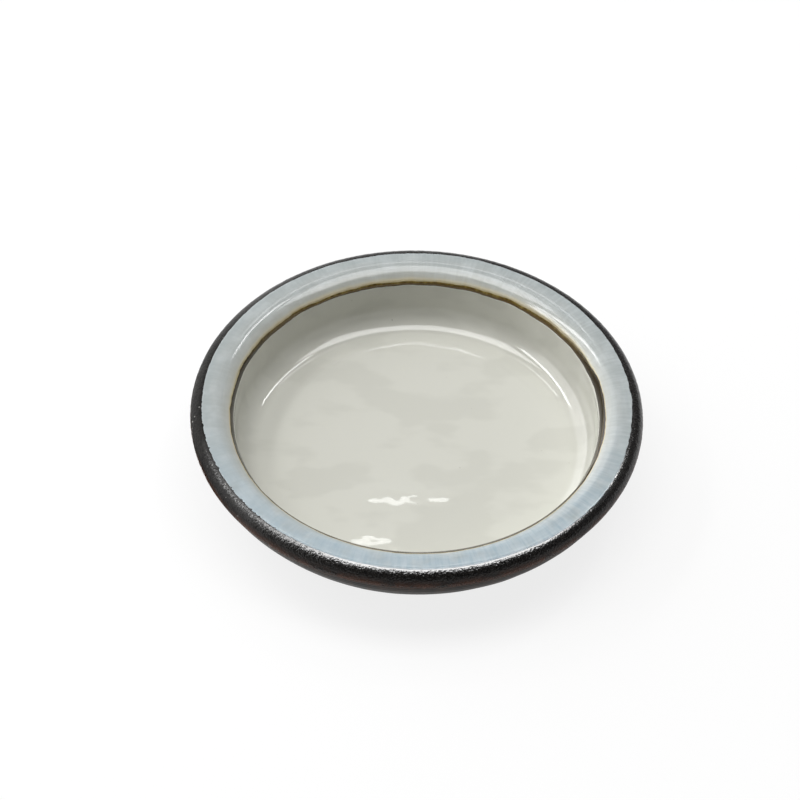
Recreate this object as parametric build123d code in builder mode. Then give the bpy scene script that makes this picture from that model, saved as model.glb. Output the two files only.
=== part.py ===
"""Soy sauce dish: a small stoneware dish with a broad rim, each glaze coat its own solid.

Millimetres, +Z up. The origin is the centre of the foot ring, on the surface that the dish stands on.
Every coat is the space between a finished curve and the same curve one coat deeper, in the clay.
"""

import os
from math import asin, atan2, cos, degrees, hypot, radians, sin, tan

from build123d import *

# Driving dimensions: sizes of the finished, glazed dish
mouth_diameter = 82.0  # inner edge of the rim, across the well
rim_width = 9.0  # from the mouth out to the outermost edge
rim_fall = 50.0  # degrees that the rim falls at the mouth
rim_slope = 0.25  # straight slope between the mouth and the round of the shoulder
shoulder_radius = 5.4  # round of the shoulder, from the slope up to the level top of the rim
edge_radius = 2.8  # roll of the rim's outer edge
break_radius = 1.8  # round of the break between rim and well wall
well_depth = 14.0  # from the crest down to the well floor
wall_draft = 5.0  # degrees that the well wall leans from upright
well_corner_radius = 5.0  # cove between the well wall and the floor
floor_thickness = 4.0  # from the well floor to the underside
heel_spread = 1.5  # how far the outside wall, drawn on to the underside, ends outside the mouth
foot_setback = 11.5  # from the mouth in to the outside of the foot ring
foot_height = 2.0  # from the ground up to the underside
foot_width = 3.5  # bare clay ring that the dish stands on
foot_cove = 0.8  # cove between the foot ring and the underside, both sides
foot_flat = 0.4  # level strip between the belly and the foot's cove
foot_chamfer = 0.4  # eased edges of the bare foot
recess_depth = 2.0  # hollow inside the foot ring
bare_band = 0.8  # height of the foot that stays unglazed
glaze_thickness = 0.5  # every coat

# Places worked out from the sizes
mouth_radius = mouth_diameter / 2
rim_radius = mouth_radius + rim_width
floor_height = foot_height + floor_thickness
crest_height = floor_height + well_depth
crest_radius = rim_radius - edge_radius
foot_radius = mouth_radius - foot_setback
foot_bore = foot_radius - foot_width
draft = radians(wall_draft)

# The rim is level from the crest to its shoulder, which rounds over to the slope at the mouth
fall = radians(rim_fall)
slope_length = shoulder_radius * tan(fall / 2) + rim_slope
rim_rise = slope_length * sin(fall)
shoulder_corner = mouth_radius + slope_length * cos(fall)
break_turn = 90 - wall_draft - rim_fall

# The outside wall is the line that touches the edge roll and ends at the heel
heel_radius = mouth_radius + heel_spread
edge_height = crest_height - edge_radius
heel_run = crest_radius - heel_radius
heel_rise = edge_height - foot_height
wall_slope = atan2(heel_run, heel_rise) + asin(edge_radius / hypot(heel_run, heel_rise))
edge_turn = 90 + degrees(wall_slope)
belly_run = heel_radius - foot_radius - glaze_thickness - foot_cove - foot_flat
belly_radius = belly_run / tan((radians(90) - wall_slope) / 2)


# Finished curves, at skin 0, and the clay under them, at skin glaze_thickness
def rim_curve(skin, mode=Mode.ADD):
    """Top of the rim, from the crest in to the mouth."""
    top = crest_height - skin
    shoulder = shoulder_corner + skin * tan(fall / 2)
    mouth = (mouth_radius + skin * sin(fall), crest_height - rim_rise - skin * cos(fall))
    round_off = shoulder_radius - skin
    return FilletPolyline((crest_radius, top), (shoulder, top), mouth, radius=round_off, mode=mode)


def break_curve(skin, mode=Mode.ADD):
    """Break between the rim and the well wall."""
    rim = rim_curve(skin, Mode.PRIVATE)
    return JernArc(rim @ 1, (-cos(fall), -sin(fall)), break_radius - skin, break_turn, mode=mode)


def well_curve(skin):
    """Well wall, cove and floor, from the break to the axis."""
    top = break_curve(skin, Mode.PRIVATE) @ 1
    floor = floor_height - skin
    foot_of_wall = top.X - (top.Y - floor) * tan(draft)
    return FilletPolyline(top, (foot_of_wall, floor), (0, floor), radius=well_corner_radius + skin)


def edge_curve(skin, mode=Mode.ADD):
    """Rolled edge, from the crest round to where the outside wall leaves it."""
    crest = (crest_radius, crest_height - skin)
    return JernArc(crest, (1, 0), edge_radius - skin, -edge_turn, mode=mode)


def outside_curve(skin):
    """Outside wall, belly, foot cove and foot, from the edge roll to the bare band."""
    top = edge_curve(skin, Mode.PRIVATE) @ 1
    under = foot_height + skin
    heel = top.X - (top.Y - under) * tan(wall_slope)
    foot = foot_radius + glaze_thickness - skin
    belly = belly_radius - skin
    cove = foot_cove + skin
    return FilletPolyline(top, (heel, under), (foot, under), (foot, bare_band), radius=(belly, cove))


def recess_curve(skin):
    """Inside of the foot ring, from the bare band to the axis."""
    bore = foot_bore - glaze_thickness + skin
    ceiling = recess_depth + skin
    return FilletPolyline((bore, bare_band), (bore, ceiling), (0, ceiling), radius=foot_cove + skin)


def coat_section(curve):
    """Cut through one coat: its finished curve, the clay curve under it, and both ends."""
    with BuildSketch(Plane.XZ) as section:
        with BuildLine():
            face = curve(0)
            back = curve(glaze_thickness)
            Line(face @ 0, back @ 0)
            Line(face @ 1, back @ 1)
        make_face()
    return section.sketch


# The clay dish, with its foot ring bare
with BuildPart() as stoneware_body:
    with BuildSketch(Plane.XZ):
        with BuildLine():
            rim_curve(glaze_thickness)
            break_curve(glaze_thickness)
            well = well_curve(glaze_thickness)
            edge_curve(glaze_thickness)
            outside = outside_curve(glaze_thickness)
            recess = recess_curve(glaze_thickness)
            Polyline(
                outside @ 1,
                (foot_radius, foot_chamfer),
                (foot_radius - foot_chamfer, 0),
                (foot_bore + foot_chamfer, 0),
                (foot_bore, foot_chamfer),
                recess @ 0,
            )
            Line(recess @ 1, well @ 1)
        make_face()
    revolve(axis=Axis.Z)
stoneware_body.part.label = "stoneware_body"

# Pale clear coat in the well
with BuildPart() as well_glaze:
    revolve(coat_section(well_curve), axis=Axis.Z)
well_glaze.part.label = "well_glaze"

# Iron band on the break between well and rim
with BuildPart() as iron_line:
    revolve(coat_section(break_curve), axis=Axis.Z)
iron_line.part.label = "iron_line"

# Pale blue coat on the top of the rim
with BuildPart() as rim_glaze:
    revolve(coat_section(rim_curve), axis=Axis.Z)
rim_glaze.part.label = "rim_glaze"

# Dark grainy coat on the rolled edge
with BuildPart() as edge_glaze:
    revolve(coat_section(edge_curve), axis=Axis.Z)
edge_glaze.part.label = "edge_glaze"

# Dark glossy coat on the outside, down to the foot
with BuildPart() as underside_glaze:
    revolve(coat_section(outside_curve), axis=Axis.Z)
underside_glaze.part.label = "underside_glaze"

# The same dark coat inside the foot ring
with BuildPart() as foot_recess_glaze:
    revolve(coat_section(recess_curve), axis=Axis.Z)
foot_recess_glaze.part.label = "foot_recess_glaze"

os.makedirs("parts", exist_ok=True)
export_step(stoneware_body.part, "parts/stoneware_body.step")
export_step(well_glaze.part, "parts/well_glaze.step")
export_step(iron_line.part, "parts/iron_line.step")
export_step(rim_glaze.part, "parts/rim_glaze.step")
export_step(edge_glaze.part, "parts/edge_glaze.step")
export_step(underside_glaze.part, "parts/underside_glaze.step")
export_step(foot_recess_glaze.part, "parts/foot_recess_glaze.step")
print("dish", round(2 * rim_radius, 2), "across", round(crest_height, 2), "high")
print("outside wall", round(degrees(wall_slope), 1), "degrees, belly radius", round(belly_radius, 2))
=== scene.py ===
# %% [markdown]
# # A soy sauce dish in glazed stoneware
# The dish is one thrown pot of clay with six coats on it. Each coat is a thin shell of its own, so each is
# modelled as a closed shell over the clay, and each gets the finish that the kiln gave it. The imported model
# is loaded first and never changed: it says where every piece goes.

# %% Load the frame
from functools import cache
from math import asin, atan2, cos, degrees, exp, hypot, pi, radians, sin, tan

import bpy
from mathutils import Matrix, Vector, noise


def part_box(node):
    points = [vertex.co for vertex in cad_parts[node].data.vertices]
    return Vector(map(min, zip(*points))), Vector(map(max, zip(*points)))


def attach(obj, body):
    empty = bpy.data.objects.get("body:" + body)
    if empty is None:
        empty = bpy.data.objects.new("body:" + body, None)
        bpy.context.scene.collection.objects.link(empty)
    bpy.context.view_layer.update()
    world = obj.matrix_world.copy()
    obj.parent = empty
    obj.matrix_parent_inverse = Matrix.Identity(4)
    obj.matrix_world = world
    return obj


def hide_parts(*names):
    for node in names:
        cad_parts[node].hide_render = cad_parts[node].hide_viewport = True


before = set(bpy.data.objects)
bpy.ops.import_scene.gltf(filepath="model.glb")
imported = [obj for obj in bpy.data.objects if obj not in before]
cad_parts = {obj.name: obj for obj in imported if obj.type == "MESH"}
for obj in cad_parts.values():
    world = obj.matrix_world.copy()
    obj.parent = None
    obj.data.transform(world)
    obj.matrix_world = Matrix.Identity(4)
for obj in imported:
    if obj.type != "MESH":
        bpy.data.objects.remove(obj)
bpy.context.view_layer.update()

bpy.context.scene.view_settings.view_transform = "Standard"
print("frame nodes:", ", ".join(sorted(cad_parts)))

# %% [markdown]
# ## Sizes
# A potter works from a few sizes: how wide the mouth is, how broad the rim, how deep the well. Those that the
# frame holds are read from it. The rest are written here once, in millimetres, as the dish was drawn.

# %% Sizes of the dish
MM = 0.001


def reach(node, axis):
    """How far a node of the frame goes up along one axis, in millimetres."""
    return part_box(node)[1][axis] / MM


rim_radius = round(reach("edge_glaze", 0), 2)
crest_height = round(reach("edge_glaze", 2), 2)
crest_radius = round(reach("rim_glaze", 0), 2)
edge_radius = rim_radius - crest_radius
mouth_radius = 41.0
rim_fall = radians(50)
rim_slope = 0.25
shoulder_radius = 5.4
break_radius = 1.8
wall_draft = radians(5)
well_corner_radius = 5.0
floor_height = 6.0
heel_radius = 42.5
foot_radius = 29.5
foot_width = 3.5
foot_height = 2.0
foot_cove = 0.8
foot_flat = 0.4
foot_chamfer = 0.4
recess_depth = 2.0
bare_band = 0.8
coat = 0.5
print("dish", 2 * rim_radius, "mm across and", crest_height, "mm high")

# %% [markdown]
# ## Drawing a section and turning it
# A pot is a section turned round its axis. The section is drawn step by step: a plane is added and merged to
# one vertex, straight stretches are extruded from it, and round stretches are spun about their centre. A
# screw modifier without any rise then turns the section round Z, as the wheel does, and it is applied. A last
# spin would do the same but is slow with hundreds of steps.

# %% Section tools
weld = 0.002 * MM
crease = radians(40)


def start_section(name, radius, height):
    """One vertex in edit mode, at a radius and height of the section."""
    bpy.ops.object.select_all(action="DESELECT")
    bpy.ops.mesh.primitive_plane_add(size=MM)
    piece = bpy.context.object
    piece.name = name
    piece.data.name = name
    bpy.ops.object.mode_set(mode="EDIT")
    bpy.ops.mesh.merge(type="CENTER")
    bpy.ops.transform.translate(value=(radius * MM, 0, height * MM))
    return piece, [radius, height]


def run_to(at, radius, height, steps=1):
    """Extrudes the end of the section straight to a new radius and height."""
    step = ((radius - at[0]) * MM / steps, 0, (height - at[1]) * MM / steps)
    for _ in range(steps):
        bpy.ops.mesh.extrude_region_move(TRANSFORM_OT_translate={"value": step})
    at[:] = [radius, height]


def swing(at, centre, turn, steps):
    """Spins the end of the section about a centre, clockwise for a positive turn."""
    middle = (centre[0] * MM, 0, centre[1] * MM)
    bpy.ops.mesh.spin(steps=steps, angle=turn, center=middle, axis=(0, -1, 0))
    out, up = at[0] - centre[0], at[1] - centre[1]
    at[0] = centre[0] + out * cos(turn) + up * sin(turn)
    at[1] = centre[1] - out * sin(turn) + up * cos(turn)


def turn_section(piece, steps):
    """Closes the section, turns it round Z and makes its faces point outwards."""
    bpy.ops.mesh.select_all(action="SELECT")
    bpy.ops.mesh.remove_doubles(threshold=weld)
    bpy.ops.object.mode_set(mode="OBJECT")
    wheel = piece.modifiers.new("wheel", "SCREW")
    wheel.axis = "Z"
    wheel.steps = steps
    wheel.render_steps = steps
    bpy.ops.object.modifier_apply(modifier="wheel")
    bpy.ops.object.mode_set(mode="EDIT")
    bpy.ops.mesh.select_all(action="SELECT")
    bpy.ops.mesh.remove_doubles(threshold=weld)
    bpy.ops.mesh.dissolve_degenerate(threshold=weld)
    bpy.ops.mesh.select_all(action="SELECT")
    bpy.ops.mesh.normals_make_consistent(inside=False)
    bpy.ops.object.mode_set(mode="OBJECT")
    bpy.ops.object.shade_smooth_by_angle(angle=crease)
    print(piece.name, len(piece.data.polygons), "faces")


# %% [markdown]
# ## Centres and ends of the curves
# The section is lines and arcs that run on into each other. Their centres and ends follow from the sizes, by
# the same rules that a draughtsman uses: a round between two lines starts at its radius times the tangent of
# half the turn.

# %% Curves of the section
def on_arc(centre, radius, out, up):
    """The point of an arc that lies from its centre along (out, up)."""
    return centre[0] + radius * out, centre[1] + radius * up


shoulder_run = shoulder_radius * tan(rim_fall / 2)
slope_length = shoulder_run + rim_slope
mouth_height = crest_height - slope_length * sin(rim_fall)
shoulder_start = mouth_radius + slope_length * cos(rim_fall) + shoulder_run
shoulder_centre = (shoulder_start, crest_height - shoulder_radius)
break_centre = (mouth_radius + break_radius * sin(rim_fall), mouth_height - break_radius * cos(rim_fall))
break_turn = pi / 2 - wall_draft - rim_fall
wall_top = on_arc(break_centre, break_radius, -cos(wall_draft), sin(wall_draft))
wall_foot = wall_top[0] - (wall_top[1] - floor_height) * tan(wall_draft)
well_turn = pi / 2 - wall_draft
well_cove = (wall_foot - well_corner_radius * tan(well_turn / 2), floor_height + well_corner_radius)

edge_centre = (crest_radius, crest_height - edge_radius)
heel_run = crest_radius - heel_radius
heel_rise = edge_centre[1] - foot_height
wall_slope = atan2(heel_run, heel_rise) + asin(edge_radius / hypot(heel_run, heel_rise))
edge_turn = pi / 2 + wall_slope
belly_turn = pi / 2 - wall_slope
belly_run = heel_radius - foot_radius - coat - foot_cove - foot_flat
belly_radius = belly_run / tan(belly_turn / 2)
belly_centre = (heel_radius - belly_run, foot_height + belly_radius)
foot_cove_centre = (foot_radius + coat + foot_cove, foot_height - foot_cove)
foot_bore = foot_radius - foot_width
recess_cove_centre = (foot_bore - coat - foot_cove, recess_depth - foot_cove)

print("outside wall leans", round(degrees(wall_slope), 1), "degrees")
print("belly radius", round(belly_radius, 1), "mm")

# %% [markdown]
# ## What throwing leaves
# No thrown pot is perfectly round, and a glaze edge wanders where the brush or the dip left it. One rule
# moves every piece alike, so the pieces still meet: the rim is a little out of round and not quite level, the
# well is a hair off its centre while the outer rim and the foot stay, and the lines between the coats wander
# along the surface. The noise is fixed by its place, so every run gives the same dish.

# %% The wandering lines
crest_line_reach = 1.6
iron_line_reach = 1.6
break_reach = 3.0
out_of_round = 0.05
rim_wave = 0.04
well_off_centre = 0.4
still_rim_radius = 46
still_foot_height = 4
ease = 2.0
crest_shift = 0.20
lower_shift = -0.40
nub_floor = 0.20

# Stretches of a line that move: how far in millimetres, then the middle and half width in degrees
crest_stretches = ((0.50, -90, 80), (0.48, -38, 36))
nub_stretches = ((1.1, -150, 48),)
crumb_stretches = ((0.24, -10, 60),)
upper_wide = ((0.60, 8, 50), (0.30, -90, 100), (0.14, 188, 45))
upper_thin = ((-0.15, 55, 14), (-0.20, 118, 26), (-0.28, 95, 80))
lower_stretches = ((0.25, 118, 26), (0.10, 55, 14), (0.20, 95, 80))
break_stretches = ((0.40, 0, 50), (0.25, 185, 40))

# Ripples along a line: how far and how long in millimetres, then a seed that tells them apart
crest_ripples = ((0.12, 9, 1.7), (0.09, 2.6, 2.9), (0.05, 0.9, 4.1))
nub_ripples = ((1.0, 0.55, 5.3),)
crumb_ripples = ((1.0, 1.6, 6.1),)
upper_ripples = ((0.34, 5.5, 7.7), (0.12, 1.6, 8.3))
lower_ripples = ((0.22, 6, 11.1), (0.06, 1.4, 12.9))


def clamp(value):
    """The value held between 0 and 1."""
    return max(0.0, min(1.0, value))


def ripple(angle, spacing, radius, seed):
    """Noise round a circle: about -1 to 1, with bumps this far apart in millimetres."""
    circle = radius / spacing
    return noise.noise(Vector((cos(angle) * circle, sin(angle) * circle, seed)))


def window(angle, middle, half_width):
    """1 at the middle of a stretch of the rim, easing to 0 at its ends."""
    off = (degrees(angle) - middle + 180) % 360 - 180
    return 0.5 + 0.5 * cos(pi * off / half_width) if abs(off) < half_width else 0.0


def drift(angle, radius, stretches=(), ripples=()):
    """Sum of the eased stretches and of the ripples, at an angle round a circle."""
    eased = sum(far * window(angle, middle, half) for far, middle, half in stretches)
    return eased + sum(far * ripple(angle, spacing, radius, seed) for far, spacing, seed in ripples)


@cache
def crest_wander(angle):
    """How far the pale and dark coats' edge moves outwards, with small dark nubs on one stretch."""
    nubs = max(0.0, drift(angle, crest_radius, ripples=nub_ripples) - nub_floor)
    nubs *= drift(angle, crest_radius, nub_stretches)
    crumbs = drift(angle, crest_radius, ripples=crumb_ripples)
    crumbs *= drift(angle, crest_radius, crumb_stretches)
    return crest_shift + drift(angle, crest_radius, crest_stretches, crest_ripples) + crumbs - nubs


@cache
def iron_upper_wander(angle):
    """How far the iron band's upper edge moves up the slope."""
    return drift(angle, mouth_radius, upper_wide + upper_thin, upper_ripples)


@cache
def iron_lower_wander(angle):
    """How far the iron band's lower edge moves up the well wall."""
    return lower_shift + drift(angle, mouth_radius, lower_stretches, lower_ripples)


@cache
def break_push(angle):
    """How far the break of the rim leans in over the well."""
    return drift(angle, mouth_radius, break_stretches)


lines = (
    ((crest_radius, crest_height), (1, 0), crest_line_reach, crest_wander),
    ((mouth_radius, mouth_height), (cos(rim_fall), sin(rim_fall)), iron_line_reach, iron_upper_wander),
    (wall_top, (sin(wall_draft), cos(wall_draft)), iron_line_reach, iron_lower_wander),
    (wall_top, (-1, 0), break_reach, break_push),
)


def roll_fall(radius):
    """How far the top of the outer roll lies below the crest at a radius."""
    out = max(0.0, min(edge_radius, radius - crest_radius))
    return edge_radius - (edge_radius**2 - out**2) ** 0.5


def thrown(piece):
    """Moves a turned piece's vertices off the true shape, as throwing and dipping do."""
    for vertex in piece.data.vertices:
        x, y, z = vertex.co / MM
        radius, height, angle = hypot(x, y), z, atan2(y, x)
        spot = round(angle, 4)
        out, up = 0.0, 0.0
        for place, along, near, wander in lines:
            gap = hypot(radius - place[0], height - place[1])
            if gap < near:
                slide = wander(spot) * (1 - gap / near)
                out += along[0] * slide
                up += along[1] * slide
        if height > edge_centre[1]:
            up -= roll_fall(radius + out) - roll_fall(radius)
        share = radius / rim_radius
        oval = sin(2 * angle + 0.9) - 0.4 * sin(3 * angle + 2.0) - 1
        out += share * out_of_round * oval
        level = max(0.0, height / crest_height) ** 2
        wave = sin(2 * angle + 2.2) + 0.5 * sin(5 * angle) - 1
        up += level * rim_wave * wave * share
        inside = clamp((still_rim_radius - radius) / (2 * ease))
        inside *= clamp((height - still_foot_height) / ease)
        radius += out
        x, y = radius * cos(angle), radius * sin(angle) - well_off_centre * inside
        vertex.co = (x * MM, y * MM, (height + up) * MM)
    piece.data.update()


def note(piece, name, rule):
    """Keeps a number on each vertex, for the finishes that follow the shape."""
    kept = piece.data.attributes.new(name, "FLOAT", "POINT")
    for vertex in piece.data.vertices:
        x, y, z = vertex.co / MM
        kept.data[vertex.index].value = rule(hypot(x, y), z, round(atan2(y, x), 4))


print("lines that wander:", len(lines))

# %% [markdown]
# ## The clay
# The pot is thrown, dried until it is leather-hard, then turned upside down so that the foot ring can be cut.
# Almost all of it is under glaze, so only the foot needs fine steps. The ring's flat is drawn in many small
# steps, and every other one is lifted a hair: those are the lines that the turning tool leaves.

# %% Stoneware body
fine_turns = 900
plain_turns = 450
groove_depth = 0.05
groove_count = 12

body, at = start_section("stoneware_clay", 0, recess_depth + coat)
run_to(at, recess_cove_centre[0], recess_depth + coat, steps=6)
swing(at, recess_cove_centre, pi / 2, steps=6)
run_to(at, foot_bore, foot_chamfer, steps=4)
run_to(at, foot_bore + foot_chamfer, 0, steps=2)
ring_step = (foot_width - 2 * foot_chamfer) / groove_count
for groove in range(1, groove_count + 1):
    lift = groove_depth if groove % 2 and groove < groove_count else 0
    run_to(at, foot_bore + foot_chamfer + groove * ring_step, lift)
run_to(at, foot_radius, foot_chamfer, steps=2)
run_to(at, foot_radius, foot_cove_centre[1], steps=4)
swing(at, foot_cove_centre, pi / 2, steps=6)
run_to(at, belly_centre[0], foot_height + coat)
swing(at, belly_centre, -belly_turn, steps=16)
run_to(at, *on_arc(edge_centre, edge_radius - coat, cos(wall_slope), -sin(wall_slope)), steps=6)
swing(at, edge_centre, -edge_turn, steps=16)
run_to(at, shoulder_start, crest_height - coat, steps=2)
swing(at, shoulder_centre, -rim_fall, steps=12)
run_to(at, mouth_radius + coat * sin(rim_fall), mouth_height - coat * cos(rim_fall))
swing(at, break_centre, -break_turn, steps=6)
run_to(at, *on_arc(well_cove, well_corner_radius + coat, cos(wall_draft), -sin(wall_draft)), steps=4)
swing(at, well_cove, well_turn, steps=10)
run_to(at, 0, floor_height - coat, steps=8)
turn_section(body, plain_turns)
thrown(body)

# %% [markdown]
# ## The coat in the well
# A clear, pale glaze that ran smooth in the fire. It is drawn from the middle of the floor out, up the cove
# and the wall, over a rounded lip, and back down along the clay. The melt leaves soft swells that only show
# in the reflections, so a displace modifier with a cloud texture lifts the face by a few hundredths of a
# millimetre, and it is applied so that the shape is in the mesh. A few low mounds and one thrown ring are
# raised on the floor after it.

# %% Well glaze
lip = 0.16
ring_radius = 32.2
ring_width = 0.6
ring_stretches = ((0.13, 92, 100),)
ring_ripples = ((0.7, 7, 15.7),)
flake = 0.25
flake_across = 2.6
flake_along = 1.7
flake_seed = 3.1

# Mounds on the floor: their place, half width, half length and height, in millimetres
mounds = (
    (-3.6, -14.3, 8.5, 3.2, 0.21),
    (6.0, -13.2, 3.5, 2.8, 0.165),
    (-9.5, -26.2, 5.0, 2.6, 0.145),
)

well, at = start_section("well_coat", 0, floor_height)
run_to(at, well_cove[0], floor_height, steps=80)
swing(at, well_cove, -well_turn, steps=20)
run_to(at, wall_top[0] - lip * sin(wall_draft), wall_top[1] - lip * cos(wall_draft), steps=12)
lip_centre = (at[0] + lip * cos(wall_draft), at[1] - lip * sin(wall_draft))
swing(at, lip_centre, pi / 2, steps=4)
run_to(at, wall_top[0] + coat * cos(wall_draft), wall_top[1] - coat * sin(wall_draft))
run_to(at, *on_arc(well_cove, well_corner_radius + coat, cos(wall_draft), -sin(wall_draft)), steps=3)
swing(at, well_cove, well_turn, steps=8)
run_to(at, 0, floor_height - coat, steps=6)
turn_section(well, plain_turns)


def swell(piece, spacing, lift, faces):
    """Lifts part of a piece by soft clouds this far apart, both in millimetres."""
    group = piece.vertex_groups.new(name="face")
    shares = {}
    for vertex in piece.data.vertices:
        weight = round(faces(hypot(vertex.co.x, vertex.co.y) / MM, vertex.co.z / MM), 2)
        shares.setdefault(weight, []).append(vertex.index)
    for weight, indices in shares.items():
        group.add(indices, weight, "REPLACE")
    cloud = bpy.data.textures.new(piece.name + "_swell", "CLOUDS")
    cloud.noise_scale = spacing * MM
    cloud.noise_depth = 1
    rise = piece.modifiers.new("swell", "DISPLACE")
    rise.texture = cloud
    rise.texture_coords = "LOCAL"
    rise.strength = lift * MM
    rise.mid_level = 0.5
    rise.vertex_group = "face"
    bpy.context.view_layer.objects.active = piece
    bpy.ops.object.modifier_apply(modifier="swell")
    piece.vertex_groups.clear()


def well_face(radius, height):
    """The floor and cove's upper side, easing off towards the wall top."""
    depth = hypot(max(0.0, radius - well_cove[0]), height - well_cove[1])
    if depth > well_corner_radius + coat / 2 and height < well_cove[1]:
        return 0.0
    return clamp((wall_top[1] - ease - height) / (2 * ease))


def melt(piece):
    """Raises the floor by a few low mounds and one thrown ring near the cove."""
    for vertex in piece.data.vertices:
        x, y, z = vertex.co / MM
        radius = hypot(x, y)
        if radius > well_cove[0] or z < floor_height - coat / 2:
            continue
        angle = atan2(y, x)
        ring = ring_radius + drift(angle, ring_radius, ripples=ring_ripples)
        rise = drift(angle, ring_radius, ring_stretches) * exp(-(((radius - ring) / ring_width) ** 2))
        uneven = 1 + flake * noise.noise(Vector((x / flake_across, y / flake_along, flake_seed)))
        for across, along, wide, long, lift in mounds:
            rise += uneven * lift * exp(-(((x - across) / wide) ** 2) - ((y - along) / long) ** 2)
        vertex.co.z += rise * MM


swell(well, spacing=12, lift=0.16, faces=well_face)
melt(well)
thrown(well)

# %% [markdown]
# ## The iron band
# Where the slope of the rim breaks over into the well, both pale coats stop short of each other and a brushed
# band of iron shows. It is thinner than they are, so it is drawn a little deeper.

# %% Iron line
iron_drop = 0.07
band_start = (-sin(rim_fall), cos(rim_fall))

iron, at = start_section("iron_band", *on_arc(break_centre, break_radius - coat, *band_start))
run_to(at, *on_arc(break_centre, break_radius - iron_drop, *band_start))
swing(at, break_centre, -break_turn, steps=12)
run_to(at, *on_arc(break_centre, break_radius - coat, -cos(wall_draft), sin(wall_draft)))
swing(at, break_centre, break_turn, steps=6)
turn_section(iron, fine_turns)


def band_across(radius, height, angle):
    """0 at the iron band's upper edge and 1 at its lower one."""
    return (atan2(break_centre[0] - radius, height - break_centre[1]) - rim_fall) / break_turn


note(iron, "across", band_across)
thrown(iron)

# %% [markdown]
# ## The coat on the rim
# The pale blue glaze lies thick on the level top and runs thin on the slope towards the well. It is drawn
# from its outer lip in over the shoulder and down the slope, with both ends rounded as melted glass is.

# %% Rim glaze
bead_stretches = ((0.16, 30, 34),)
bead_place = 0.5
bead_width = 0.3
bead_end = 2.0
thin_lip = 0.08
lip_clear = 0.5
bleed_stretches = ((2.5, -85, 95), (0.9, -5, 45), (0.5, 200, 45))
bleed_ripples = ((0.16, 3, 21.3), (0.08, 0.9, 22.7))

rim, at = start_section("rim_coat", crest_radius, crest_height - coat)
run_to(at, crest_radius, crest_height - thin_lip, steps=2)
swing(at, (crest_radius - thin_lip, crest_height - thin_lip), -pi / 2, steps=5)
run_to(at, shoulder_start, crest_height, steps=8)
swing(at, shoulder_centre, -rim_fall, steps=40)
run_to(at, mouth_radius + lip * cos(rim_fall), mouth_height + lip * sin(rim_fall))
lip_centre = (at[0] + lip * sin(rim_fall), at[1] - lip * cos(rim_fall))
swing(at, lip_centre, -pi / 2, steps=4)
run_to(at, mouth_radius + coat * sin(rim_fall), mouth_height - coat * cos(rim_fall))
run_to(at, *on_arc(shoulder_centre, shoulder_radius - coat, -sin(rim_fall), cos(rim_fall)), steps=2)
swing(at, shoulder_centre, rim_fall, steps=8)
run_to(at, crest_radius, crest_height - coat, steps=2)
turn_section(rim, fine_turns)


def rim_across(radius, height, angle):
    """0 at the mouth and 1 at the crest."""
    return (radius - mouth_radius) / (crest_radius - mouth_radius)


def iron_bleed(radius, height, angle):
    """How deep a spot lies in the iron that bleeds up under the pale coat, 1 for a millimetre."""
    far = drift(angle, mouth_radius, bleed_stretches, bleed_ripples)
    return far - hypot(radius - mouth_radius, height - mouth_height)


note(rim, "across", rim_across)
note(rim, "bleed", iron_bleed)


def rim_face(radius, height):
    """The rim coat's upper side, not its ends."""
    inside = min(radius - mouth_radius, crest_radius - radius) - lip_clear
    depth = hypot(min(0.0, radius - shoulder_start), height - shoulder_centre[1])
    return clamp(inside) if depth > shoulder_radius - coat / 2 else 0.0


def bead_up(piece):
    """Thickens the pale coat in a low bead along the iron, where it ran and stopped."""
    for vertex in piece.data.vertices:
        x, y, z = vertex.co / MM
        radius, angle = hypot(x, y), atan2(y, x)
        along = (radius - mouth_radius) * cos(rim_fall) + (z - mouth_height) * sin(rim_fall)
        above = (z - mouth_height) * cos(rim_fall) - (radius - mouth_radius) * sin(rim_fall)
        if along < bead_end and above > -coat / 2:
            lift = drift(angle, mouth_radius, bead_stretches)
            lift *= exp(-(((along - bead_place) / bead_width) ** 2))
            out = radius - lift * sin(rim_fall)
            vertex.co = (out * cos(angle) * MM, out * sin(angle) * MM, (z + lift * cos(rim_fall)) * MM)


swell(rim, spacing=7, lift=0.03, faces=rim_face)
bead_up(rim)
thrown(rim)

# %% [markdown]
# ## The dark edge
# The outer roll of the rim has a dry, iron-black coat. It is thinner than the pale one, so the pale lip
# stands proud of it, and its skin is grainy. The grain is in the mesh too: two displace passes, one for the
# coarse crust and one for single grains.

# %% Edge glaze
edge_drop = 0.04
grain_start = 0.05
grain_end = 0.99
grain_onset = 8
grain_fade = 12
ridge_out = (cos(wall_slope), -sin(wall_slope))

edge, at = start_section("edge_coat", crest_radius, crest_height - coat)
run_to(at, crest_radius, crest_height - edge_drop)
swing(at, edge_centre, edge_turn, steps=30)
run_to(at, *on_arc(edge_centre, edge_radius - coat, *ridge_out))
swing(at, edge_centre, -edge_turn, steps=10)
turn_section(edge, fine_turns)


def roll_across(radius, height, angle=0.0):
    """0 at the crest and 1 at the edge's lower line."""
    return atan2(radius - edge_centre[0], height - edge_centre[1]) / edge_turn


def edge_face(radius, height):
    """The edge coat's outer side, easing off at its ends."""
    turned = roll_across(radius, height)
    outside = hypot(radius - edge_centre[0], height - edge_centre[1]) > edge_radius - coat / 2
    eased = min(grain_onset * (turned - grain_start), grain_fade * (grain_end - turned))
    return clamp(eased) if outside else 0.0


note(edge, "across", roll_across)
swell(edge, spacing=1.4, lift=0.07, faces=edge_face)
swell(edge, spacing=0.45, lift=0.09, faces=edge_face)
thrown(edge)

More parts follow.
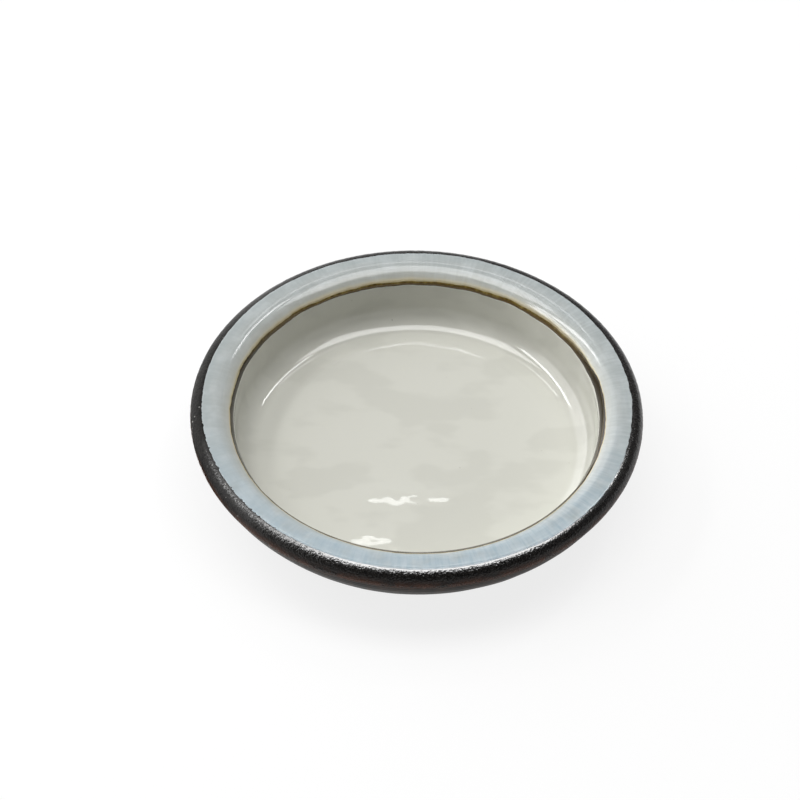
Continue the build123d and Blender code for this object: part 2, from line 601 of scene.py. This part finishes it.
# %% [markdown]
# ## The coat outside
# A satin dark brown glaze covers the outside from the edge's lower line to the foot, where it was wiped back
# and ends in a rounded bead. It is drawn down the wall, round the belly, into the foot's cove and up again
# along the clay. The turning tool leaves faint rings in the clay, and they show through the coat, so the wall
# is drawn in many short steps that a small ripple then moves in and out.

# %% Underside glaze
bead = 0.22
ring_depth = 0.02
ring_spacing = 1.7
ring_top = 16.0
ring_patch = 2.3
ring_wobble = 0.5

underside, at = start_section("underside_coat", *on_arc(edge_centre, edge_radius - coat, *ridge_out))
run_to(at, *on_arc(edge_centre, edge_radius - lip, *ridge_out))
lip_centre = (at[0] - lip * sin(wall_slope), at[1] - lip * cos(wall_slope))
swing(at, lip_centre, pi / 2, steps=4)
run_to(at, heel_radius + belly_run * sin(wall_slope), foot_height + belly_run * cos(wall_slope), steps=48)
swing(at, belly_centre, belly_turn, steps=32)
run_to(at, foot_cove_centre[0], foot_height, steps=2)
swing(at, foot_cove_centre, -pi / 2, steps=6)
run_to(at, foot_radius + coat, bare_band + bead, steps=2)
swing(at, (foot_radius + coat - bead, bare_band + bead), pi / 2, steps=5)
run_to(at, foot_radius, bare_band)
run_to(at, foot_radius, foot_cove_centre[1])
swing(at, foot_cove_centre, pi / 2, steps=4)
run_to(at, belly_centre[0], foot_height + coat)
swing(at, belly_centre, -belly_turn, steps=10)
run_to(at, *on_arc(edge_centre, edge_radius - coat, *ridge_out), steps=3)
turn_section(underside, plain_turns)


def outside_face(radius, height):
    """The outer side of the wall and belly, easing off towards the edge and the foot."""
    line = heel_radius + (height - foot_height) * tan(wall_slope)
    away = hypot(radius - belly_centre[0], height - belly_centre[1]) - belly_radius
    on_belly = height < belly_centre[1] - belly_radius * sin(wall_slope)
    outer = away > -coat / 2 if on_belly else radius > line - coat / 2
    return clamp(min(height - foot_height, ring_top - height) / ease) if outer else 0.0


def turned_rings(piece):
    """Moves the outer side in and out in the faint rings that the turning tool left."""
    for vertex in piece.data.vertices:
        x, y, z = vertex.co / MM
        radius, angle = hypot(x, y), atan2(y, x)
        strength = 1 + noise.noise(Vector((cos(angle), sin(angle), z / ring_patch)))
        wave = sin(2 * pi * z / ring_spacing + ring_wobble * sin(angle))
        out = radius + ring_depth * strength * wave * outside_face(radius, z)
        vertex.co.x, vertex.co.y = out * cos(angle) * MM, out * sin(angle) * MM


swell(underside, spacing=9, lift=0.16, faces=outside_face)
turned_rings(underside)
thrown(underside)

# %% [markdown]
# ## Inside the foot ring
# The hollow under the dish has the same dark coat. It is drawn along the clay from the axis to the bare ring,
# then back over a bead.

# %% Foot recess glaze
recess, at = start_section("recess_coat", 0, recess_depth + coat)
run_to(at, recess_cove_centre[0], recess_depth + coat, steps=4)
swing(at, recess_cove_centre, pi / 2, steps=4)
run_to(at, foot_bore, bare_band)
run_to(at, foot_bore - coat + bead, bare_band)
swing(at, (foot_bore - coat + bead, bare_band + bead), pi / 2, steps=5)
run_to(at, foot_bore - coat, recess_cove_centre[1])
swing(at, recess_cove_centre, -pi / 2, steps=8)
run_to(at, 0, recess_depth, steps=36)
turn_section(recess, plain_turns)


def recess_face(radius, height):
    """The ceiling of the hollow, not its sides."""
    share = clamp((recess_cove_centre[0] - radius) / ease)
    return share if height < recess_depth + coat / 2 else 0.0


swell(recess, spacing=8, lift=0.12, faces=recess_face)
thrown(recess)

# %% [markdown]
# ## Each piece takes its place
# Every piece stands for one node of the frame and moves with the one body there is, and the node's own mesh
# is hidden.

# %% Pieces and nodes
made = {
    "stoneware_body": body,
    "well_glaze": well,
    "iron_line": iron,
    "rim_glaze": rim,
    "edge_glaze": edge,
    "underside_glaze": underside,
    "foot_recess_glaze": recess,
}
for node_name, piece in made.items():
    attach(piece, "root")
    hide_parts(node_name)
print("pieces in place:", len(made))

# %% [markdown]
# ## Finishes
# A glaze is a glass, so every coat starts from a dielectric with an index of 1.55 and little roughness. What
# tells them apart is their colour, how even it is, and their skin. Colours are written as the sRGB values
# that a colour picker shows and turned to linear light by one function. One more function adds a node, sets
# it and links it. A finish is a ground tone with colours laid over it, each where its own mask lets it
# through.

# %% Material tools
glass_ior = 1.55
least_speck = 0.2
mix_ground, mix_over, mix_result = 6, 7, 2


def colour(code):
    """Linear colour of an sRGB hex code."""
    parts = [int(code[i : i + 2], 16) / 255 for i in (1, 3, 5)]
    return tuple(c / 12.92 if c <= 0.04045 else ((c + 0.055) / 1.055) ** 2.4 for c in parts) + (1.0,)


def add_node(tree, kind, inputs=(), **settings):
    """Adds a node, sets its properties, and sets or links its sockets."""
    made_node = tree.nodes.new(kind)
    for name, value in settings.items():
        setattr(made_node, name, value)
    for socket, value in dict(inputs).items():
        if isinstance(value, bpy.types.NodeSocket):
            tree.links.new(value, made_node.inputs[socket])
        else:
            made_node.inputs[socket].default_value = value
    return made_node


def start_material(name, piece, roughness):
    """A new material with one glassy shader, given to a piece."""
    material = bpy.data.materials.new(name)
    material.use_nodes = True
    tree = material.node_tree
    shader = tree.nodes["Principled BSDF"]
    shader.inputs["IOR"].default_value = glass_ior
    shader.inputs["Roughness"].default_value = roughness
    piece.data.materials.clear()
    piece.data.materials.append(material)
    place = add_node(tree, "ShaderNodeTexCoord").outputs["Object"]
    print("finish", name, "on", piece.name)
    return tree, shader, place


def lay_tones(tree, shader, tone, layers):
    """Lays colours over a ground tone, each by its own mask, and gives the result to the shader."""
    for mask, over in layers:
        mix = {"Factor": mask, mix_ground: tone, mix_over: over}
        tone = add_node(tree, "ShaderNodeMix", mix, data_type="RGBA").outputs[mix_result]
    tree.links.new(tone, shader.inputs["Base Color"])


def specks(tree, place, spacing, size, share, depth):
    """A mask of round specks: spacing and size in millimetres, share of cells with one, and how strong."""
    cells = add_node(tree, "ShaderNodeTexVoronoi", {"Vector": place, "Scale": 1 / (spacing * MM)})
    lucky = add_node(tree, "ShaderNodeSeparateColor", {"Color": cells.outputs["Color"]})
    holds = add_node(tree, "ShaderNodeMath", {0: lucky.outputs["Red"], 1: share}, operation="LESS_THAN")
    grown = {"Value": lucky.outputs["Green"], "To Max": size / spacing}
    grown["To Min"] = least_speck * size / spacing
    grown = add_node(tree, "ShaderNodeMapRange", grown).outputs[0]
    near = {"Value": cells.outputs["Distance"], "From Max": grown, "To Min": depth, "To Max": 0.0}
    near = add_node(tree, "ShaderNodeMapRange", near).outputs[0]
    return add_node(tree, "ShaderNodeMath", {0: near, 1: holds.outputs[0]}, operation="MULTIPLY").outputs[0]


def cloud(tree, place, spacing, top, detail=2.0, low=0.35, high=0.65):
    """Soft noise with this spacing in millimetres, from 0 up to a top value."""
    mist = {"Vector": place, "Scale": 1 / (spacing * MM), "Detail": detail}
    mist = add_node(tree, "ShaderNodeTexNoise", mist).outputs["Fac"]
    spread = {"Value": mist, "From Min": low, "From Max": high, "To Max": top}
    return add_node(tree, "ShaderNodeMapRange", spread, interpolation_type="SMOOTHSTEP").outputs[0]


def round_place(tree, place, across_mm, along_mm):
    """A place that counts streaks round the dish and length along its radius."""
    flat = add_node(tree, "ShaderNodeVectorMath", {0: place, 1: (1, 1, 0)}, operation="MULTIPLY").outputs[0]
    radius = add_node(tree, "ShaderNodeVectorMath", {0: flat}, operation="LENGTH").outputs["Value"]
    way = add_node(tree, "ShaderNodeVectorMath", {0: flat}, operation="NORMALIZE").outputs[0]
    ring = {0: way, "Scale": rim_radius / across_mm}
    ring = add_node(tree, "ShaderNodeVectorMath", ring, operation="SCALE").outputs[0]
    out = {0: radius, 1: 1 / (along_mm * MM)}
    out = add_node(tree, "ShaderNodeMath", out, operation="MULTIPLY").outputs[0]
    rise = add_node(tree, "ShaderNodeCombineXYZ", {"Z": out}).outputs[0]
    return add_node(tree, "ShaderNodeVectorMath", {0: ring, 1: rise}).outputs[0]


# %% [markdown]
# ### Pale ash glaze, in the well
# A clear glaze over a pale clay, fired glossy. It is a cool white with a hint of green, with soft darker
# patches stretched across it that are painted reflections of darker things in the room, and a few iron specks
# and pinholes sit in it, a fraction of a millimetre wide.

# %% Well finish
tree, shader, place = start_material("pale_ash_glaze", well, 0.04)
shader.inputs["IOR"].default_value = 1.62
broad = add_node(tree, "ShaderNodeVectorMath", {0: place, 1: (0.5, 1, 1)}, operation="MULTIPLY").outputs[0]
layers = (
    # Painted reflection: soft darker patches, stretched across the dish, stand in for dark things mirrored in
    # the glaze.
    (cloud(tree, broad, spacing=8, top=0.8, detail=2.5, low=0.48, high=0.60), colour("#cacac1")),
    (specks(tree, place, spacing=7, size=0.45, share=0.40, depth=0.8), colour("#6b6555")),
    (specks(tree, place, spacing=3.1, size=0.3, share=0.18, depth=0.4), colour("#8f8976")),
)
lay_tones(tree, shader, colour("#d1d1c8"), layers)
skin = {"Vector": place, "Scale": 1 / (3 * MM), "Detail": 1.0}
skin = add_node(tree, "ShaderNodeTexNoise", skin).outputs["Fac"]
bump = add_node(tree, "ShaderNodeBump", {"Height": skin, "Strength": 0.08, "Distance": 0.05 * MM})
tree.links.new(bump.outputs["Normal"], shader.inputs["Normal"])

# %% [markdown]
# ### Iron band
# Brushed iron oxide, melted into the glaze: olive at the back, paler where it thins towards its upper edge,
# and nearly black at the front and sides.

# %% Iron finish
tree, shader, place = start_material("iron_oxide_band", iron, 0.16)
across = add_node(tree, "ShaderNodeAttribute", attribute_name="across").outputs["Fac"]
streaks = round_place(tree, place, across_mm=1.3, along_mm=1.5)
flow = add_node(tree, "ShaderNodeTexNoise", {"Vector": streaks, "Scale": 1.0, "Detail": 3.0}).outputs["Fac"]
depth = add_node(tree, "ShaderNodeMath", {0: flow, 1: 1.6, 2: across}, operation="MULTIPLY_ADD").outputs[0]
depth = add_node(tree, "ShaderNodeMapRange", {"Value": depth, "From Min": 0.45, "From Max": 1.65}).outputs[0]
ramp = add_node(tree, "ShaderNodeValToRGB", {"Fac": depth})
ramp.color_ramp.elements[0].color = colour("#a89558")
ramp.color_ramp.elements[1].color = colour("#5f4b22")
for spot, code in ((0.25, "#84713a"), (0.50, "#69562a"), (0.75, "#55421d")):
    ramp.color_ramp.elements.new(spot).color = colour(code)
# Darker everywhere but at the back of the dish, easing in between.
side = add_node(tree, "ShaderNodeSeparateXYZ", {"Vector": place}).outputs["Y"]
front_dark = {"Value": side, "From Min": 30 * MM, "From Max": 10 * MM, "To Max": 0.9}
front_dark = add_node(tree, "ShaderNodeMapRange", front_dark, interpolation_type="SMOOTHSTEP").outputs[0]
lay_tones(tree, shader, ramp.outputs["Color"], ((front_dark, colour("#22190e")),))

# %% [markdown]
# ### Pale blue glaze, on the rim
# A milky grey glaze that breaks to cream where it thins over the iron, and is bluer towards the front of the
# rim. The melt ran a little, which leaves fine streaks from the well outwards, crossed by the faint rings of
# the wheel. Along part of the mouth the iron bleeds up under it and shows as a dark line with a cream fringe.

# %% Rim finish
tree, shader, place = start_material("pale_blue_glaze", rim, 0.11)
across = add_node(tree, "ShaderNodeAttribute", attribute_name="across").outputs["Fac"]
bands = add_node(tree, "ShaderNodeValToRGB", {"Fac": across})
bands.color_ramp.elements[0].color = colour("#8d7b4c")
bands.color_ramp.elements[1].color = colour("#a8aeae")
fade = ((0.025, "#c0b28b"), (0.055, "#cfc8af"), (0.11, "#bcbdb5"))
for spot, code in fade + ((0.35, "#afb3b0"), (0.65, "#a9adab"), (0.9, "#a3a9a8")):
    bands.color_ramp.elements.new(spot).color = colour(code)
sides = add_node(tree, "ShaderNodeSeparateXYZ", {"Vector": place}).outputs
# Bluer towards the front of the rim, easing off towards the back.
front_blue = {"Value": sides["Y"], "From Min": 2 * MM, "From Max": -42 * MM, "To Min": 0.10, "To Max": 1.0}
front_blue = add_node(tree, "ShaderNodeMapRange", front_blue, interpolation_type="SMOOTHSTEP").outputs[0]
mottle = cloud(tree, place, spacing=5, top=0.90, detail=3.0, low=0.08, high=0.60)
pool = add_node(tree, "ShaderNodeMapRange", {"Value": across, "From Min": 0.15, "From Max": 0.55}).outputs[0]
share = add_node(tree, "ShaderNodeMath", {0: front_blue, 1: mottle}, operation="MULTIPLY").outputs[0]
share = add_node(tree, "ShaderNodeMath", {0: share, 1: pool}, operation="MULTIPLY").outputs[0]
streaks = round_place(tree, place, across_mm=0.7, along_mm=5.0)
fur = add_node(tree, "ShaderNodeTexNoise", {"Vector": streaks, "Scale": 1.0, "Detail": 2.0}).outputs["Fac"]
ran = {"Value": sides["X"], "From Min": -34 * MM, "From Max": 24 * MM, "To Min": 0.10, "To Max": 0.24}
ran = add_node(tree, "ShaderNodeMapRange", ran).outputs[0]
pale = {"Value": fur, "From Min": 0.38, "From Max": 0.75, "To Max": ran}
pale = add_node(tree, "ShaderNodeMapRange", pale).outputs[0]
runs = {"Value": sides["X"], "From Min": -34 * MM, "From Max": 6 * MM, "To Min": 0.08, "To Max": 0.38}
runs = add_node(tree, "ShaderNodeMapRange", runs).outputs[0]
deep = {"Value": fur, "From Min": 0.52, "From Max": 0.28, "To Max": runs}
deep = add_node(tree, "ShaderNodeMapRange", deep).outputs[0]
deep = add_node(tree, "ShaderNodeMath", {0: deep, 1: share}, operation="MULTIPLY").outputs[0]
wheel = round_place(tree, place, across_mm=9.0, along_mm=0.45)
lathe = add_node(tree, "ShaderNodeTexNoise", {"Vector": wheel, "Scale": 1.0, "Detail": 1.0}).outputs["Fac"]
faint = {"Value": lathe, "From Min": 0.4, "From Max": 0.75, "To Max": 0.12}
faint = add_node(tree, "ShaderNodeMapRange", faint).outputs[0]
bleed = add_node(tree, "ShaderNodeAttribute", attribute_name="bleed").outputs["Fac"]
stain = add_node(tree, "ShaderNodeValToRGB", {"Fac": bleed})
stain.color_ramp.elements[0].color = colour("#cfc19a")
stain.color_ramp.elements[1].color = colour("#564c3c")
for spot, code in ((0.09, "#6a5c46"), (0.18, "#332a1e"), (0.55, "#2b2319"), (0.8, "#6e6453")):
    stain.color_ramp.elements.new(spot).color = colour(code)
there = {"Value": bleed, "From Min": -0.28, "From Max": -0.02}
there = add_node(tree, "ShaderNodeMapRange", there).outputs[0]
layers = (
    (share, colour("#a8b8c1")),
    (cloud(tree, place, spacing=3.6, top=0.18, detail=3.0, low=0.42, high=0.70), colour("#dbe1e2")),
    (pale, colour("#d2d9d9")),
    (deep, colour("#8ca4b2")),
    (faint, colour("#8b9aa1")),
    (there, stain.outputs["Color"]),
)
lay_tones(tree, shader, bands.outputs["Color"], layers)
bump = add_node(tree, "ShaderNodeBump", {"Height": fur, "Strength": 0.05, "Distance": 0.05 * MM})
tree.links.new(bump.outputs["Normal"], shader.inputs["Normal"])

# %% [markdown]
# ### Black iron glaze, on the edge
# A dry glaze so rich in iron that crystals gather in its skin. It is smooth in a hair's breadth along the
# crest, then a crust of fine grains that glitter where a light grazes them. On the side where the pale coat
# is bluest the crystals lie densest and coarsest, and there the crest shines almost like metal, which is what
# the raised index gives. Away from that side the shine narrows to a thin line and the crust gets finer, and
# at the left it is chalky, with a few pale specks painted into its colour as glints of light. Towards its
# lower line it turns matt and breaks to rust.

# %% Edge finish
tree, shader, place = start_material("black_iron_glaze", edge, 0.30)
across = add_node(tree, "ShaderNodeAttribute", attribute_name="across").outputs["Fac"]
sides = add_node(tree, "ShaderNodeSeparateXYZ", {"Vector": place}).outputs
grain = {"Vector": place, "Scale": 1 / (0.42 * MM), "Detail": 1.5}
grain = add_node(tree, "ShaderNodeTexNoise", grain).outputs["Fac"]
patches = cloud(tree, place, spacing=4, top=0.95, detail=3.0, low=0.3, high=0.6)
rust = {"Value": across, "From Min": 0.50, "From Max": 0.88, "To Max": patches}
rust = add_node(tree, "ShaderNodeMapRange", rust, interpolation_type="SMOOTHSTEP").outputs[0]
# Painted highlight: pale specks on the left side stand in for glints of light off the crust.
left = {"Value": sides["X"], "From Min": -36 * MM, "From Max": -41 * MM}
left = add_node(tree, "ShaderNodeMapRange", left).outputs[0]
painted_glints = specks(tree, place, spacing=1.2, size=0.30, share=0.55, depth=0.8)
painted_glints = add_node(tree, "ShaderNodeMath", {0: left, 1: painted_glints}, operation="MULTIPLY").outputs[0]
layers = (
    (cloud(tree, place, spacing=0.5, top=1.0), colour("#201e1c")),
    (rust, colour("#4a2e20")),
    (painted_glints, colour("#c9c7c2")),
)
lay_tones(tree, shader, colour("#0f0e0e"), layers)
coarse = {"Value": sides["Y"], "From Min": -30 * MM, "From Max": -46 * MM, "To Min": 0.42, "To Max": 1.0}
coarse = add_node(tree, "ShaderNodeMapRange", coarse, interpolation_type="SMOOTHSTEP").outputs[0]
ragged = add_node(tree, "ShaderNodeMath", {0: grain, 1: 0.7, 2: across}, operation="MULTIPLY_ADD").outputs[0]
narrow = {"Value": coarse, "From Min": 0.42, "To Min": 0.08, "To Max": 0.0}
narrow = add_node(tree, "ShaderNodeMapRange", narrow).outputs[0]
ragged = add_node(tree, "ShaderNodeMath", {0: ragged, 1: narrow}).outputs[0]
crest = {"Value": ragged, "From Min": 0.72, "From Max": 0.52}
crest = add_node(tree, "ShaderNodeMapRange", crest).outputs[0]
flame = {"Value": sides["Y"], "From Min": -8 * MM, "From Max": -28 * MM}
flame = add_node(tree, "ShaderNodeMapRange", flame, interpolation_type="SMOOTHSTEP").outputs[0]
sheen = add_node(tree, "ShaderNodeMath", {0: crest, 1: flame}, operation="MULTIPLY").outputs[0]
calm = {"Value": sides["X"], "From Min": -40 * MM, "From Max": -12 * MM, "To Min": 0.30, "To Max": 1.0}
calm = add_node(tree, "ShaderNodeMapRange", calm, interpolation_type="SMOOTHSTEP").outputs[0]
sheen = add_node(tree, "ShaderNodeMath", {0: sheen, 1: calm}, operation="MULTIPLY").outputs[0]
dry = {"Value": grain, "From Min": 0.35, "From Max": 0.65, "To Min": 0.17, "To Max": 0.36}
dry = add_node(tree, "ShaderNodeMapRange", dry).outputs[0]
chalky = {"Value": sides["X"], "From Min": -12 * MM, "From Max": -42 * MM, "To Max": 0.10}
chalky = add_node(tree, "ShaderNodeMapRange", chalky).outputs[0]
dry = add_node(tree, "ShaderNodeMath", {0: dry, 1: chalky}).outputs[0]
rough = add_node(tree, "ShaderNodeMapRange", {"Value": sheen, "To Min": dry, "To Max": 0.14}).outputs[0]
tree.links.new(rough, shader.inputs["Roughness"])
dull = {"Value": sides["X"], "From Min": -36 * MM, "From Max": -46 * MM, "To Min": 1.42, "To Max": 1.2}
dull = add_node(tree, "ShaderNodeMapRange", dull).outputs[0]
burnt = {"Value": across, "From Min": 0.45, "From Max": 0.75, "To Max": 0.24}
burnt = add_node(tree, "ShaderNodeMapRange", burnt).outputs[0]
dull = add_node(tree, "ShaderNodeMath", {0: dull, 1: burnt}, operation="SUBTRACT").outputs[0]
dense = add_node(tree, "ShaderNodeMapRange", {"Value": sheen, "To Min": dull, "To Max": 2.7}).outputs[0]
tree.links.new(dense, shader.inputs["IOR"])
crust = {"Value": across, "From Min": 0.03, "From Max": 0.12, "To Min": 0.12, "To Max": coarse}
crust = add_node(tree, "ShaderNodeMapRange", crust).outputs[0]
bump = add_node(tree, "ShaderNodeBump", {"Height": grain, "Strength": crust, "Distance": 0.18 * MM})
tree.links.new(bump.outputs["Normal"], shader.inputs["Normal"])

# %% [markdown]
# ### Dark brown glaze, outside and in the foot's hollow
# The same iron in a satin glaze: a brown so dark that it looks black, with rust where it runs thin along the
# upper line. It is dry there and grows glossy down the wall, where the coat is thicker, so the index rises
# with the depth. Both pieces share it.

# %% Underside finish
tree, shader, place = start_material("dark_brown_glaze", underside, 0.30)
recess.data.materials.clear()
recess.data.materials.append(underside.data.materials[0])
streaks = round_place(tree, place, across_mm=1.6, along_mm=9.0)
flow = add_node(tree, "ShaderNodeTexNoise", {"Vector": streaks, "Scale": 1.0, "Detail": 3.0}).outputs["Fac"]
flow = add_node(tree, "ShaderNodeMapRange", {"Value": flow, "From Min": 0.32, "From Max": 0.68}).outputs[0]
height = add_node(tree, "ShaderNodeSeparateXYZ", {"Vector": place}).outputs["Z"]
gloss = {"Value": height, "From Min": 14.0 * MM, "From Max": 10.0 * MM, "To Min": 1.12, "To Max": glass_ior}
gloss = add_node(tree, "ShaderNodeMapRange", gloss, interpolation_type="SMOOTHSTEP").outputs[0]
tree.links.new(gloss, shader.inputs["IOR"])
thin = {"Value": height, "From Min": 15.2 * MM, "From Max": 15.9 * MM, "To Max": 0.9}
thin = add_node(tree, "ShaderNodeMapRange", thin, interpolation_type="SMOOTHSTEP").outputs[0]
layers = (
    (flow, colour("#30231a")),
    (specks(tree, place, spacing=2.4, size=0.7, share=0.55, depth=0.8), colour("#5a3a29")),
    (thin, colour("#4d3a2c")),
)
lay_tones(tree, shader, colour("#17110d"), layers)
skin = {"Vector": place, "Scale": 1 / (2.2 * MM), "Detail": 2.0}
skin = add_node(tree, "ShaderNodeTexNoise", skin).outputs["Fac"]
bump = add_node(tree, "ShaderNodeBump", {"Height": skin, "Strength": 0.15, "Distance": 0.06 * MM})
tree.links.new(bump.outputs["Normal"], shader.inputs["Normal"])

# %% [markdown]
# ### Bare stoneware, on the foot ring
# Unglazed clay is matt and gritty, buff with iron specks, and a little toasted where it met the flame.

# %% Clay finish
tree, shader, place = start_material("bare_stoneware", body, 0.82)
layers = (
    (cloud(tree, place, spacing=4, top=1.0, detail=4.0), colour("#c2aa8b")),
    (specks(tree, place, spacing=1.2, size=0.5, share=0.25, depth=1.0), colour("#5a4633")),
)
lay_tones(tree, shader, colour("#a98f70"), layers)
grit = {"Vector": place, "Scale": 1 / (0.4 * MM), "Detail": 4.0}
grit = add_node(tree, "ShaderNodeTexNoise", grit).outputs["Fac"]
bump = add_node(tree, "ShaderNodeBump", {"Height": grit, "Strength": 0.5, "Distance": 0.1 * MM})
tree.links.new(bump.outputs["Normal"], shader.inputs["Normal"])

# %% [markdown]
# ## Floor, light and camera
# A plain white floor. A white sheet photographed beside a lit pot comes out near white with only a pale
# shadow, so for the camera most of the floor is an even white, and the rest shows the shadow. Reflections
# take a smaller share of that white.

# %% Floor
bpy.ops.object.select_all(action="DESELECT")
bpy.ops.mesh.primitive_plane_add(size=6.0)
floor = bpy.context.object
floor.name = "floor"
paper = bpy.data.materials.new("white_paper")
paper.use_nodes = True
tree = paper.node_tree
sheet = tree.nodes["Principled BSDF"]
sheet.inputs["Base Color"].default_value = colour("#fbfbfb")
sheet.inputs["Roughness"].default_value = 0.9
sheet.inputs["Specular IOR Level"].default_value = 0.1
rays = add_node(tree, "ShaderNodeLightPath").outputs
seen = {0: rays["Is Camera Ray"], 1: rays["Is Transmission Ray"]}
seen = add_node(tree, "ShaderNodeMath", seen, operation="MAXIMUM").outputs[0]
seen = add_node(tree, "ShaderNodeMapRange", {"Value": seen, "To Max": 0.82}).outputs[0]
shown = add_node(tree, "ShaderNodeMapRange", {"Value": rays["Is Glossy Ray"], "To Max": 0.28}).outputs[0]
seen = add_node(tree, "ShaderNodeMath", {0: seen, 1: shown}, operation="MAXIMUM").outputs[0]
white = add_node(tree, "ShaderNodeEmission", {"Strength": 1.0}).outputs[0]
both = add_node(tree, "ShaderNodeMixShader", {0: seen, 1: sheet.outputs[0], 2: white}).outputs[0]
tree.links.new(both, tree.nodes["Material Output"].inputs["Surface"])
floor.data.materials.append(paper)
print("floor", floor.name, "with", paper.name)

# %% [markdown]
# The light is daylight-like. A wide softbox right overhead draws the bright lines along the shoulder, the
# cove and the front of the dark edge. A broad window on the left lights the wall opposite, and a thin strip
# above it draws the sharp streak on the right of the well. A second thin strip at the back picks out the
# swells in the floor, and a short one on the right carries the dark edge's bright line on round that side.
# The room in front is dim, which is why the well's far wall is its darkest part.

# %% Lamps
target = Vector((0, 0, 0.012))


def softbox(name, towards, across, along, radiance):
    """An area lamp one metre away along a direction, facing the dish, of an even radiance."""
    lamp = bpy.data.lights.new(name, "AREA")
    lamp.shape = "RECTANGLE"
    lamp.size = across
    lamp.size_y = along
    lamp.energy = radiance * pi * across * along
    holder = bpy.data.objects.new(name, lamp)
    bpy.context.scene.collection.objects.link(holder)
    way = Vector(towards).normalized()
    holder.location = target + way
    holder.rotation_euler = way.to_track_quat("Z", "Y").to_euler()
    print("lamp", name, "of", round(lamp.energy, 2), "W")


softbox("overhead_softbox", (0, 0.06, 0.998), across=1.16, along=0.48, radiance=4.25)
softbox("left_window", (-0.77, 0.44, 0.46), across=1.8, along=0.9, radiance=1.30)
softbox("left_strip", (-0.635, 0.17, 0.755), across=0.75, along=0.11, radiance=8.0)
softbox("back_strip", (0, 0.566, 0.824), across=0.40, along=0.045, radiance=4.5)
softbox("right_strip", (0.366, 0.448, 0.82), across=0.09, along=0.28, radiance=9.0)

# %% [markdown]
# The room around is dim in front and on the right, and pale near the horizon, where the white sheet rises
# behind the dish.

# %% Room
world = bpy.data.worlds.new("studio")
bpy.context.scene.world = world
world.use_nodes = True
tree = world.node_tree
way = add_node(tree, "ShaderNodeTexCoord").outputs["Generated"]
parts = add_node(tree, "ShaderNodeSeparateXYZ", {"Vector": way})
high = {"Value": parts.outputs["Z"], "From Min": 0.30, "From Max": 0.75, "To Min": 0.9, "To Max": 0.28}
high = add_node(tree, "ShaderNodeMapRange", high).outputs[0]
front = {"Value": parts.outputs["Y"], "From Min": -0.6, "From Max": 0.3, "To Min": 0.07, "To Max": 1.0}
front = add_node(tree, "ShaderNodeMapRange", front).outputs[0]
strength = add_node(tree, "ShaderNodeMath", {0: high, 1: front}, operation="MULTIPLY").outputs[0]
side = {"Value": parts.outputs["X"], "From Min": 0.6, "From Max": -0.2, "To Min": 0.25, "To Max": 1.0}
side = add_node(tree, "ShaderNodeMapRange", side).outputs[0]
strength = add_node(tree, "ShaderNodeMath", {0: strength, 1: side}, operation="MULTIPLY").outputs[0]
rays = add_node(tree, "ShaderNodeLightPath").outputs
dim = add_node(tree, "ShaderNodeMapRange", {"Value": rays["Is Diffuse Ray"], "To Min": 1.0, "To Max": 0.35})
strength = add_node(tree, "ShaderNodeMath", {0: strength, 1: dim.outputs[0]}, operation="MULTIPLY").outputs[0]
tree.links.new(strength, tree.nodes["Background"].inputs["Strength"])
tree.nodes["Background"].inputs["Color"].default_value = (1, 1, 1, 1)
print("room", world.name)

# %% [markdown]
# The camera looks down at the dish from the front, about 0.6 m away, and is turned a little about its axis.

# %% Camera
view_elevation = radians(46.79)
view_roll = radians(1.165)
view_distance = 0.6
pixels_per_metre = 4541.5
image_pixels = 800
crest_pixel = (417.07, 401.57)

camera_data = bpy.data.cameras.new("camera")
camera = bpy.data.objects.new("camera", camera_data)
bpy.context.scene.collection.objects.link(camera)
camera_data.lens = pixels_per_metre * view_distance / image_pixels * camera_data.sensor_width
turn = Matrix.Rotation(pi / 2 - view_elevation, 4, "X") @ Matrix.Rotation(view_roll, 4, "Z")
right, up, back = (turn.col[i].to_3d() for i in range(3))
across_image = (crest_pixel[0] - image_pixels / 2) / pixels_per_metre
down_image = (crest_pixel[1] - image_pixels / 2) / pixels_per_metre
look_at = Vector((0, 0, crest_height * MM)) - right * across_image + up * down_image
camera.matrix_world = Matrix.Translation(look_at + back * view_distance) @ turn
bpy.context.scene.camera = camera
print("camera lens", round(camera_data.lens, 1), "mm")
